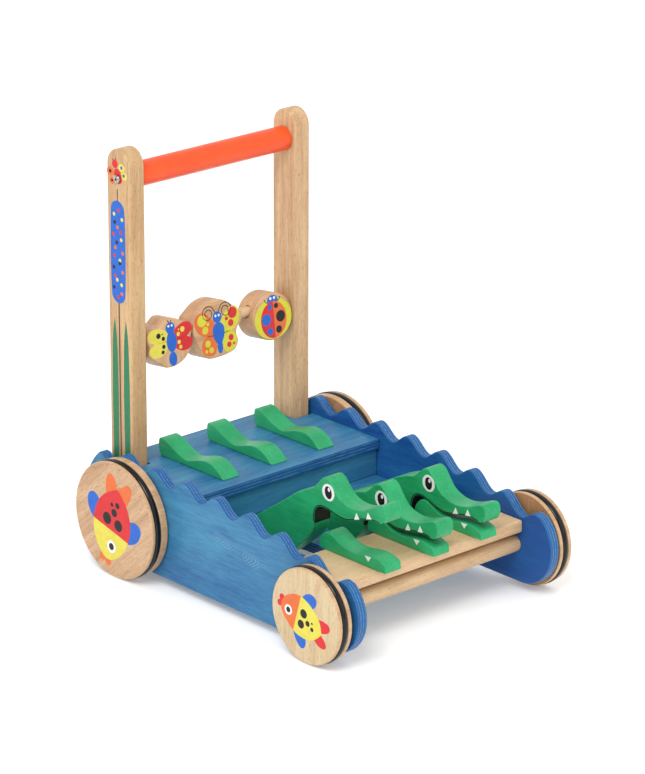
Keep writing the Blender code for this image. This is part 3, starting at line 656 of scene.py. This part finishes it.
def make_bolts(metal):
    """Domed bolts with a hexagonal socket; their heads face away from the wood that they hold."""
    for node in [name for name in nodes if "_bolt_" in name]:
        low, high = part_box(node)
        sign = SIDES["left" if "left" in node else "right"]
        if not node.startswith("handle"):
            sign = -sign
        centre = Vector((low.x if sign < 0 else high.x, (low.y + high.y) / 2, (low.z + high.z) / 2))
        bm = bmesh.new()
        upright = Matrix.Translation(centre) @ Matrix.Rotation(math.radians(90) * sign, 4, "Y")
        bmesh.ops.create_circle(bm, segments=6, radius=BOLT_SOCKET_RADIUS, matrix=upright)
        bmesh.ops.subdivide_edges(bm, edges=bm.edges[:], cuts=7)
        hex_edges = bm.edges[:]
        bmesh.ops.create_circle(bm, segments=48, radius=BOLT_TOP_RADIUS, matrix=upright)
        outer_edges = [e for e in bm.edges if e not in set(hex_edges)]
        bmesh.ops.bridge_loops(bm, edges=outer_edges + hex_edges)

        def draw(edges, reach, scale):
            """Draws a loop of edges back into the bolt, scaled about its axis."""
            made = bmesh.ops.extrude_edge_only(bm, edges=edges)["geom"]
            verts = [item for item in made if isinstance(item, bmesh.types.BMVert)]
            bmesh.ops.translate(bm, verts=verts, vec=(-sign * reach, 0, 0))
            about = Matrix.Translation(-centre)
            bmesh.ops.scale(bm, verts=verts, vec=(1, scale, scale), space=about)
            return [item for item in made if isinstance(item, bmesh.types.BMEdge)]

        socket_floor = draw(hex_edges, BOLT_SOCKET_DEPTH, 1)
        bmesh.ops.edgeloop_fill(bm, edges=socket_floor)
        rim = draw(outer_edges, BOLT_HEAD_RISES[0], BOLT_SHOULDER_RADIUS / BOLT_TOP_RADIUS)
        rim = draw(rim, BOLT_HEAD_RISES[1], BOLT_HEAD_RADIUS / BOLT_SHOULDER_RADIUS)
        rim = draw(rim, BOLT_HEAD_RISES[2], 1)
        shank = draw(rim, 0, BOLT_SHANK_RADIUS / BOLT_HEAD_RADIUS)
        end = draw(shank, high.x - low.x - sum(BOLT_HEAD_RISES), 1)
        bmesh.ops.edgeloop_fill(bm, edges=end)
        bmesh.ops.recalc_face_normals(bm, faces=bm.faces)
        finished_piece(node + "_plated", bm, [metal], body_of_node(node), [node], smooth=35)


# Prints --------------------------------------------------------------------------------------

INK_MIXES = {
    "red": (206, 38, 42), "orange": (218, 106, 50), "yellow": (216, 204, 78), "lemon": (206, 200, 56),
    "blue": (28, 96, 192), "black": (20, 19, 20), "white": (232, 232, 230), "leaf": (34, 118, 80),
    "stem": (80, 60, 44),
}  # fmt: skip
INKS = {name: ink(name, rgb(*mix)) for name, mix in INK_MIXES.items()}
LAYER = 0.05 * MM


class Print:
    """A figure printed on a flat face: thin closed layers, each a little above the last.

    Its places are in mm to the right and up on the face, from the origin given.
    """

    def __init__(self, name, origin, right, up, out, body, slot):
        self.name, self.body, self.slot = name, body, slot
        axes = Matrix((right, up, out)).transposed().to_4x4()
        self.place = Matrix.Translation(origin) @ axes
        self.bm = bmesh.new()
        self.colours = []

    def lay(self, bm, colour, level, keep=None):
        """Cuts a flat shape where asked, gives it its thickness and puts it on the face."""
        if keep:
            (u, v), (across, upwards) = keep
            shape = bm.verts[:] + bm.edges[:] + bm.faces[:]
            bmesh.ops.bisect_plane(
                bm, geom=shape, plane_co=(u, v, 0), plane_no=(across, upwards, 0), clear_outer=True
            )
        made = bmesh.ops.extrude_face_region(bm, geom=bm.faces[:])["geom"]
        top = [item for item in made if isinstance(item, bmesh.types.BMVert)]
        bmesh.ops.translate(bm, verts=top, vec=(0, 0, (level + 1) * LAYER / MM))
        self.join(bm, colour)

    def join(self, bm, colour):
        """Moves a finished layer on to the face and adds it to the print."""
        if colour not in self.colours:
            self.colours.append(colour)
        bmesh.ops.transform(bm, matrix=self.place @ Matrix.Scale(MM, 4), verts=bm.verts)
        bmesh.ops.recalc_face_normals(bm, faces=bm.faces)
        for face in bm.faces:
            face.material_index = self.colours.index(colour)
        layer = bpy.data.meshes.new("layer")
        bm.to_mesh(layer)
        bm.free()
        self.bm.from_mesh(layer)
        bpy.data.meshes.remove(layer)

    def spot(self, colour, level, u, v, radius, tall=None, tilt=0, keep=None):
        """A round or oval spot."""
        bm = bmesh.new()
        size = Matrix.Diagonal((radius, tall or radius, 1, 1))
        turn = Matrix.Rotation(math.radians(tilt), 4, "Z")
        matrix = Matrix.Translation((u, v, 0)) @ turn @ size
        bmesh.ops.create_circle(bm, cap_ends=True, segments=44, radius=1, matrix=matrix)
        self.lay(bm, colour, level, keep)

    def blob(self, colour, level, points, corners=(), keep=None):
        """A flat shape with a smooth outline, sharp only at the corners named by their number."""
        curve = bpy.data.curves.new("outline", "CURVE")
        curve.dimensions = "2D"
        curve.fill_mode = "BOTH"
        self.run(curve, points, corners, closed=True)
        bm = self.from_curve(curve)
        self.lay(bm, colour, level, keep)

    def line(self, colour, level, points, width):
        """A thin drawn line with rounded ends."""
        curve = bpy.data.curves.new("line", "CURVE")
        curve.dimensions = "3D"
        curve.bevel_depth = width / 2
        curve.bevel_resolution = 2
        curve.use_fill_caps = True
        self.run(curve, points, (), closed=False)
        bm = self.from_curve(curve)
        flat = (level + 1) * LAYER / MM / (width / 2)
        bmesh.ops.scale(bm, verts=bm.verts, vec=(1, 1, flat))
        self.join(bm, colour)

    def run(self, curve, points, corners, closed):
        """Adds one spline through the points to a curve."""
        spline = curve.splines.new("BEZIER")
        spline.bezier_points.add(len(points) - 1)
        for number, (knot, (u, v)) in enumerate(zip(spline.bezier_points, points)):
            knot.co = (u, v, 0)
            kind = "VECTOR" if number in corners else "AUTO"
            knot.handle_left_type = knot.handle_right_type = kind
        spline.use_cyclic_u = closed
        spline.resolution_u = 8

    def from_curve(self, curve):
        """The curve's own mesh, merged, in the flat."""
        holder = bpy.data.objects.new("outline", curve)
        bpy.context.scene.collection.objects.link(holder)
        bpy.context.view_layer.update()
        made = bpy.data.meshes.new_from_object(holder)
        bm = bmesh.new()
        bm.from_mesh(made)
        bmesh.ops.remove_doubles(bm, verts=bm.verts, dist=0.001)
        bpy.data.objects.remove(holder)
        bpy.data.curves.remove(curve)
        bpy.data.meshes.remove(made)
        return bm

    def finish(self):
        inks = [INKS[colour] for colour in self.colours]
        finished_piece(self.name, self.bm, inks, self.body, smooth=30)


def rear_fish(on):
    """A plump fish that swims down and to the front of the wheel."""
    on.blob("orange", 0, [(-12, 28), (-12, 42), (-6, 52), (0, 51), (5, 43), (9, 33)], (0, 5))
    on.blob("orange", 0, [(7, 36), (17, 43), (27, 46), (30, 40), (27, 30), (20, 20)], (0, 5))
    on.blob("blue", 0, [(-22, 17), (-33, 24), (-41, 20), (-43, 9), (-39, 0), (-32, -7)], (0, 5))
    on.blob("blue", 0, [(24, 5), (36, 7), (44, 2), (42, -9), (34, -17), (22, -21)], (0, 5))
    on.spot("orange", 0, -20, -46, 4.6)
    on.spot("orange", 0, -10.5, -49.5, 4.8)
    body = [(7, 37), (-9, 30), (-22, 20), (-31, 5), (-34, -10), (-31, -27), (-22, -41), (-11, -47), (1, -44)]
    body += [(13, -35), (22, -22), (27, -6), (26, 10), (18, 26)]
    seam = (-4.5, -12.5)
    on.blob("red", 1, body, (0,), keep=(seam, (-0.24, -0.97)))
    on.blob("yellow", 1, body, (0,), keep=(seam, (0.24, 0.97)))
    on.spot("white", 2, -4.5, -31, 7)
    on.spot("black", 3, -4.5, -31, 4)
    for u, v, radius in ((-11, 0, 6.8), (7.5, -4, 6.4), (1, 9, 4.6), (6.5, 18.5, 3.4), (-2.5, 17.5, 2.4)):
        on.spot("black", 2, u, v, radius)


def front_fish(on):
    """A plump fish that swims forwards."""
    on.blob("blue", 0, [(-7, 18), (1, 25), (10, 26.5), (16, 22), (15, 16), (10, 11)], (0, 5))
    on.blob("blue", 0, [(-19, -20), (-14, -30), (-6, -36), (-1, -33), (0, -22)], (0, 4))
    on.blob("red", 0, [(18, 3), (28, 3), (36, -1), (35, -6), (24, -11)], (0, 4))
    on.blob("red", 0, [(23, -13), (29, -19), (30, -25), (23, -27), (16, -24), (11, -19)], (0, 5))
    on.spot("red", 0, -35.5, 10.5, 4)
    on.spot("red", 0, -39, 4, 3.6)
    body = [(24, -12), (20, 2), (10, 12), (0, 18), (-9, 20.5), (-25, 17), (-34, 10), (-37, 2), (-35, -5)]
    body += [(-28, -13), (-19, -20), (-7, -24), (5, -24), (16, -19)]
    seam = (-13, 0)
    on.blob("orange", 1, body, (0,), keep=(seam, (0.96, -0.28)))
    on.blob("yellow", 1, body, (0,), keep=(seam, (-0.96, 0.28)))
    on.spot("white", 2, -26, 0, 5.5)
    on.spot("black", 3, -26, 0, 3.1)
    for u, v, radius in ((-3, 2.5, 4.9), (-7, -10, 4.7), (3, -6.5, 3.1), (9.5, -11, 2.3), (9.5, -4.5, 1.3)):
        on.spot("black", 2, u, v, radius)


def small_butterfly(on):
    high_wing = [(-2, 5), (-10, 11), (-20, 12.5), (-28, 9), (-28.5, 2), (-20, -3.5), (-3, -4)]
    on.blob("yellow", 0, high_wing, (5, 6))
    low_wing = [(-3, -3), (-20, -3.4), (-28, -9), (-26, -16), (-17, -18.8), (-8, -16.5), (-3, -11)]
    on.blob("yellow", 0, low_wing, (0, 1))
    on.blob("red", 0, [(7, 5), (15, 11), (24, 12.5), (31, 9), (31, 2), (24, -3.5), (7, -4)], (5, 6))
    low_wing = [(7, -3), (24, -3.4), (31.5, -8), (29, -15.5), (21, -18.4), (12, -16), (7, -11)]
    on.blob("red", 0, low_wing, (0, 1))
    for u, v, radius in ((-14.3, 4.7, 3), (-8, 0.5, 2.3), (-8.3, -8.3, 2.3), (-10, -14, 2.1), (-9, 5.4, 0.9)):
        on.spot("black", 1, u, v, radius)
        on.spot("yellow", 1, 5 - u * 0.97, v + 0.6, radius)
    on.line("black", 2, [(1.6, 14), (1, 16.6), (-0.6, 18.8)], 1)
    on.line("black", 2, [(3.4, 14), (4, 16.6), (4.6, 18.8)], 1)
    on.spot("blue", 2, 2.5, 10, 6.2)
    on.spot("blue", 3, 3, -5, 6.9, 11.4)
    on.spot("blue", 2, 3, -24, 5.4, 7.8)
    on.spot("white", 4, 0.2, 12.4, 1.3)
    on.spot("white", 4, 4.8, 12.4, 1.3)


def coil(centre, outer, turns, start, way):
    """Points on a spiral that winds inwards."""
    points = []
    steps = int(turns * 12)
    for step in range(steps + 1):
        angle = math.radians(start) + way * math.tau * step / 12
        reach = outer * (1 - 0.62 * step / steps)
        points.append((centre[0] + reach * math.cos(angle), centre[1] + reach * math.sin(angle)))
    return points


def large_butterfly(on):
    for tint, points in (
        ("orange", [(-3, 2), (-10, 10), (-18, 15.8), (-26, 15), (-31, 8), (-29, -1), (-22, -9), (-6, -13)]),
        ("orange", [(-4, -11), (-17, -12), (-23, -19), (-22, -28), (-14, -33), (-6, -32), (-2, -24)]),
        ("lemon", [(5, 2), (11, 9), (18, 14), (26, 15), (32, 7), (31, -1), (24, -9), (8, -13)]),
        ("lemon", [(6, -11), (20, -11.5), (25.5, -18), (24, -28), (17, -33.5), (9, -32), (5, -24)]),
    ):
        on.blob(tint, 0, points, (0, len(points) - 1))
    for u, v, radius in (
        (-20.5, 7.5, 6.3), (-12.6, 2.3, 2), (-17, -3.7, 4.2),
        (-14.8, -19, 3.8), (-10.5, -26.7, 3.3), (-17.4, -27, 1.9),
    ):  # fmt: skip
        on.spot("lemon", 1, u, v, radius)
    for u, v, radius in (
        (22.6, 8, 6.3), (13.8, 3.2, 2.2), (19.2, -2.7, 3.9),
        (18, -18.6, 3.5), (14.7, -25.8, 3.1), (21.6, -25.8, 1.5),
    ):  # fmt: skip
        on.spot("red", 1, u, v, radius)
    on.line("black", 2, [(-1.4, 12.6), (-3.5, 17)] + coil((-11.6, 13.2), 8.6, 1.5, 52, 1), 1)
    on.line("black", 2, [(3.2, 12.6), (5.5, 17)] + coil((13.4, 13.2), 8.6, 1.5, 128, -1), 1)
    on.spot("blue", 2, 1, 7.5, 6.2)
    body = [(1.5, 1.5), (8, -2), (9.5, -10), (7, -18), (2, -23), (-4, -18), (-6.7, -10), (-5, -2)]
    on.blob("blue", 3, body)
    on.spot("blue", 2, 2, -25.5, 3.8, 7.6)
    on.spot("white", 4, -1.2, 9.2, 1.4)
    on.spot("white", 4, 3.4, 9.2, 1.4)


def ladybird(on):
    on.spot("lemon", 0, 1.5, -11.5, 26.6, 22.6)
    on.line("black", 1, [(-4, 6.5), (-7.6, 8), (-9.2, 11)], 1.2)
    on.line("black", 1, [(8.4, 6.5), (11.6, 8), (13, 11.2)], 1.2)
    on.spot("blue", 1, 2.1, 8.6, 7.6, 5.8)
    on.spot("red", 2, 2, -13, 18.4, 20.4, keep=((2.6, 0), (1, 0)))
    on.spot("orange", 2, 2, -13, 18.4, 20.4, keep=((2.6, 0), (-1, 0)))
    for u, v, radius in ((-2.2, 1.5, 3), (-8.5, -11.3, 6.5), (-4.4, -25, 4.1)):
        on.spot("blue", 3, u, v, radius)
    for u, v, radius in ((6.6, 1.8, 2.9), (12, -11, 6.4), (8.2, -25, 4.1)):
        on.spot("black", 3, u, v, radius)
    on.spot("white", 3, -0.6, 11, 1.6)
    on.spot("white", 3, 4.8, 11, 1.6)


def reed(on, foot):
    """A bulrush with two blades from the foot up, and a small butterfly; heights from the floor."""
    on.line("stem", 0, [(-1, 417), (-1, 400)], 1.6)
    on.line("stem", 0, [(-1, 294), (-1, 200), (-1, foot)], 2.2)
    round_end = [(11 * math.cos(math.radians(a)), 11 * math.sin(math.radians(a))) for a in range(0, 181, 30)]
    outline = [(u - 1.2, 393 + v) for u, v in round_end] + [(-u - 1.2, 302.5 - v) for u, v in round_end]
    on.blob("blue", 1, outline)
    chance = random.Random(7)
    tints = ["red", "yellow", "black", "orange"]
    for count in range(22):
        u = -1.2 + 7.4 * math.sin(count * 2.4) + chance.uniform(-0.8, 0.8)
        v = 299 + count * 4.5 + chance.uniform(-1, 1)
        on.spot(tints[(count * 3 + count // 4) % 4], 2, u, v, 2.1)
    tip = 274
    for u in (-8.6, 9.9):
        blade = [(u, tip), (u + 2.4, tip - 14), (u + 4.2, tip - 44), (u + 4.3, foot), (u - 4.3, foot)]
        blade += [(u - 4.2, tip - 44), (u - 2.4, tip - 14)]
        on.blob("leaf", 0, blade, (0, 3, 4))
    for (u, v), radius, tint, dot in (
        ((-12, 434), 5, "orange", "black"), ((-9, 424.5), 4, "orange", "black"),
        ((6.5, 441), 4.4, "yellow", "blue"), ((10, 433), 4.4, "yellow", "blue"),
    ):  # fmt: skip
        on.spot(tint, 0, u, v, radius * 1.15, radius)
        on.spot(dot, 1, u - 0.3, v + 0.2, radius * 0.42)
    on.spot("red", 2, -4.4, 443.5, 4.6)
    on.spot("red", 2, 0.4, 431, 5.8, 8.4, tilt=25)
    on.line("black", 1, [(-6, 446.5), (-9.4, 448.5)], 0.8)
    on.line("black", 1, [(-3, 447.4), (-3.4, 450.4)], 0.8)


# Painted shade: a thin black line along the mouth's edge, for the shadow in the gap between the jaws.
MOUTH_SHADE_LINE = [
    (20, 21.3), (9, 22.6), (-4, 21.2), (-18, 18.3), (-32, 16.7), (-44.6, 19.4), (-57.6, 23.7), (-68.2, 25.1),
    (-76.4, 21.9), (-80.2, 14.6), (-81.6, 6.4),
]  # fmt: skip
HEAD_TEETH = [[(-17.6, 18.2), (-9.6, 19.8), (-13.5, 26.2)], [(1, 21.8), (9, 22.8), (4.3, 29.2)]]
JAW_TOOTH = [(-5.2, 12), (4.2, 12.6), (-0.2, 6.6)]


def eye_and_teeth(name, body, origin_x, out, tilt):
    """An eye and three teeth on one side of an alligator; the lower tooth is on the fixed jaw."""
    lift = lifted(tilt)
    turn = lift.to_3x3()
    right, up = Vector((0, -1, 0)), Vector((0, 0, 1))
    over_axle = Vector((origin_x, FRONT_AXLE.y, PLATE_TOP))
    away = Vector((out, 0, 0))
    on = Print(name + "_eye", lift @ over_axle, turn @ right, turn @ up, away, body, "green_paint")
    on.spot("white", 0, -54.3, 41.2, 9.2)
    on.spot("black", 1, -54.3, 41, 5.3, 6.9, tilt=8)
    on.spot("white", 2, -52.9, 44.4, 1.7, 2.2)
    # Painted shade: the black mouth line stands in for the shadow between the jaws.
    on.line("black", 0, MOUTH_SHADE_LINE, 1.2)
    for points in HEAD_TEETH:
        on.blob("white", 1, points, (0, 1, 2))
    on.finish()
    low = Print(name + "_tooth", over_axle, right, up, away, "chassis", "green_paint")
    low.blob("white", 0, JAW_TOOTH, (0, 1, 2))
    low.finish()


BEAD_TIP = math.radians(-7)  # the beads' faces look up a little
BEAD_HALF = 14 * MM  # half a bead's thickness


def make_prints():
    right, up = Vector((0, -1, 0)), Vector((0, 0, 1))
    for side, sign in SIDES.items():
        out = Vector((sign, 0, 0))
        for end, axle, draw in (("rear", REAR_AXLE, rear_fish), ("front", FRONT_AXLE, front_fish)):
            low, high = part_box(f"{end}_wheel_{side}")
            face = (low.x if sign < 0 else high.x) - sign * PRINT_ROOM
            middle = Vector((face, axle.y, axle.z))
            on = Print(f"{end}_fish_{side}", middle, right, up, out, f"{end}_wheels", "pale_wood")
            draw(on)
            on.finish()
        low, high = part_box("post_" + side)
        face = low.x if sign < 0 else high.x
        on = Print("reed_" + side, Vector((face, HANDLE.y, 0)), right, up, out, "chassis", "post_wood")
        reed(on, 100)
        on.finish()
    tip = Matrix.Rotation(BEAD_TIP, 4, "X")
    turn = tip.to_3x3()
    for node, draw, x, behind_hole in (
        ("bead_small_butterfly", small_butterfly, -70 * MM, 0.73 * MM),
        ("bead_large_butterfly", large_butterfly, -3 * MM, 0.73 * MM),
        ("bead_ladybird", ladybird, 75.5 * MM, 1.14 * MM),
    ):
        face = tip @ Vector((0, behind_hole - BEAD_HALF, 0))
        origin = Vector((x, BEAD_ROD.y, BEAD_ROD.z)) + face
        away, across = turn @ Vector((0, -1, 0)), turn @ Vector((1, 0, 0))
        on = Print(node + "_print", origin, across, turn @ up, away, body_of_node(node), "pale_wood")
        draw(on)
        on.finish()
    for name in ALLIGATORS:
        low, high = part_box("head_" + name)
        tilt = LEFT_LIFT if name == "left" else 0
        for side, x, out in (("left", low.x, -1), ("right", high.x, 1)):
            eye_and_teeth(f"{name}_alligator_{side}_side", body_of_node("head_" + name), x, out, tilt)


def make_beads():
    woods = {
        "small_butterfly": (rgb(214, 174, 132), rgb(172, 126, 88), "Z", (0.02, 0, 0.01), 0.6),
        "large_butterfly": (rgb(208, 166, 124), rgb(162, 116, 78), "X", (0.05, 0.01, 0), 0.6),
        "ladybird": (rgb(208, 166, 124), rgb(164, 118, 80), "X", (0.09, 0.03, 0), 0.8),
    }
    bores = bore_round([BEAD_ROD], 7.6 * MM)
    for name, (pale, dark, grain, middle, figure) in woods.items():
        node = "bead_" + name
        material = bare_wood(name + "_wood", pale, dark, grain, middle, figure=figure)
        bm = copy_of(node)
        ease_edges(bm, 1.7 * MM, bores, segments=4, sharper=50)
        finished_piece(node + "_sanded", bm, [material], body_of_node(node), [node])


# Stage, light and camera ---------------------------------------------------------------------


FLOOR_SIZE = 14
FLOOR_GLOW = 0.2
SKY_STRENGTH = 0.92
LAMPS = {"key": ((-2.6, -1.5, 3.6), 2.0, 104), "front": ((1.2, -3.6, 2.0), 2.4, 14)}
CAMERA_ANGLES = (-42.26, 19.88, 0.19)  # azimuth, elevation and roll in degrees
LOOK_AT = (-6.92, -13.35, 219.58)
DISTANCE = 4078.4 * MM
LENS = 181.67


def make_stage():
    bm = bmesh.new()
    bmesh.ops.create_grid(bm, x_segments=1, y_segments=1, size=FLOOR_SIZE)
    mesh = bpy.data.meshes.new("floor")
    bm.to_mesh(mesh)
    bm.free()
    finish = Finish("pale_floor")
    cloud = finish.noise(0.6, detail=1)
    tone = finish.blend((0.9, 0.9, 0.9, 1), (0.92, 0.92, 0.92, 1), cloud)
    finish.shader.inputs["Emission Color"].default_value = (1, 1, 1, 1)
    finish.shader.inputs["Emission Strength"].default_value = FLOOR_GLOW
    mesh.materials.append(finish.done(tone, cloud * 0.02 + 0.6, shine=0.1))
    floor = bpy.data.objects.new("floor", mesh)
    bpy.context.scene.collection.objects.link(floor)
    world = bpy.data.worlds.new("studio")
    world.use_nodes = True
    sky = world.node_tree.nodes["Background"]
    sky.inputs["Color"].default_value = (1.0, 1.0, 1.0, 1.0)
    sky.inputs["Strength"].default_value = SKY_STRENGTH
    bpy.context.scene.world = world
    for name, (place, size, power) in LAMPS.items():
        light = bpy.data.lights.new(name, "AREA")
        light.shape = "SQUARE"
        light.size = size
        light.energy = power
        lamp = bpy.data.objects.new(name, light)
        lamp.location = place
        lamp.rotation_mode = "QUATERNION"
        lamp.rotation_quaternion = (Vector((0, 0, 0.15)) - Vector(place)).to_track_quat("-Z", "Y")
        bpy.context.scene.collection.objects.link(lamp)


def make_camera():
    azimuth, elevation, roll = (math.radians(a) for a in CAMERA_ANGLES)
    level = math.cos(elevation)
    back = Vector((math.sin(azimuth) * level, -math.cos(azimuth) * level, math.sin(elevation)))
    right = Vector((math.cos(azimuth), math.sin(azimuth), 0))
    up = back.cross(right)
    right, up = math.cos(roll) * right + math.sin(roll) * up, math.cos(roll) * up - math.sin(roll) * right
    data = bpy.data.cameras.new("camera")
    data.lens = LENS
    data.sensor_width = 36
    data.clip_start, data.clip_end = 0.1, 100
    made = bpy.data.objects.new("camera", data)
    target = Vector(LOOK_AT) * MM
    turn = Matrix((right, up, back)).transposed().to_4x4()
    made.matrix_world = Matrix.Translation(target + back * DISTANCE) @ turn
    bpy.context.scene.collection.objects.link(made)
    bpy.context.scene.camera = made
    bpy.context.scene.view_settings.view_transform = "Standard"


def dress(name, material):
    """Gives its material to a CAD node that stays."""
    for slot in nodes[name].material_slots:
        slot.material = material


def main():
    make_camera()
    make_stage()
    make_side_panels()
    make_boards()
    make_alligators()
    make_wheels()
    make_posts()
    make_beads()
    metal = steel()
    make_bolts(metal)
    red = painted("red_handle_lacquer", HANDLE_RED, HANDLE_DEEP, "X", gloss=0.34, coat=0.15, show=0.25)
    make_dowel("handle_bar", red, 1.2 * MM)
    pale = bare_wood("dowel_wood", DOWEL_PALE, DOWEL_DARK, "X", (0, 0.02, 0), figure=0.4)
    for node in ("front_axle", "rear_axle", "bead_rod", "pivot_rod"):
        make_dowel(node, pale, 0.8 * MM, 48)
    white = nylon()
    cam_wood = bare_wood("cam_wood", CAM_PALE, CAM_DARK, "Y", figure=0.4)
    for kind, material in (("cam_", cam_wood), ("_washer_", white), ("_spacer_", white)):
        for node in [name for name in nodes if kind in name]:
            dress(node, material)
    make_prints()


main()
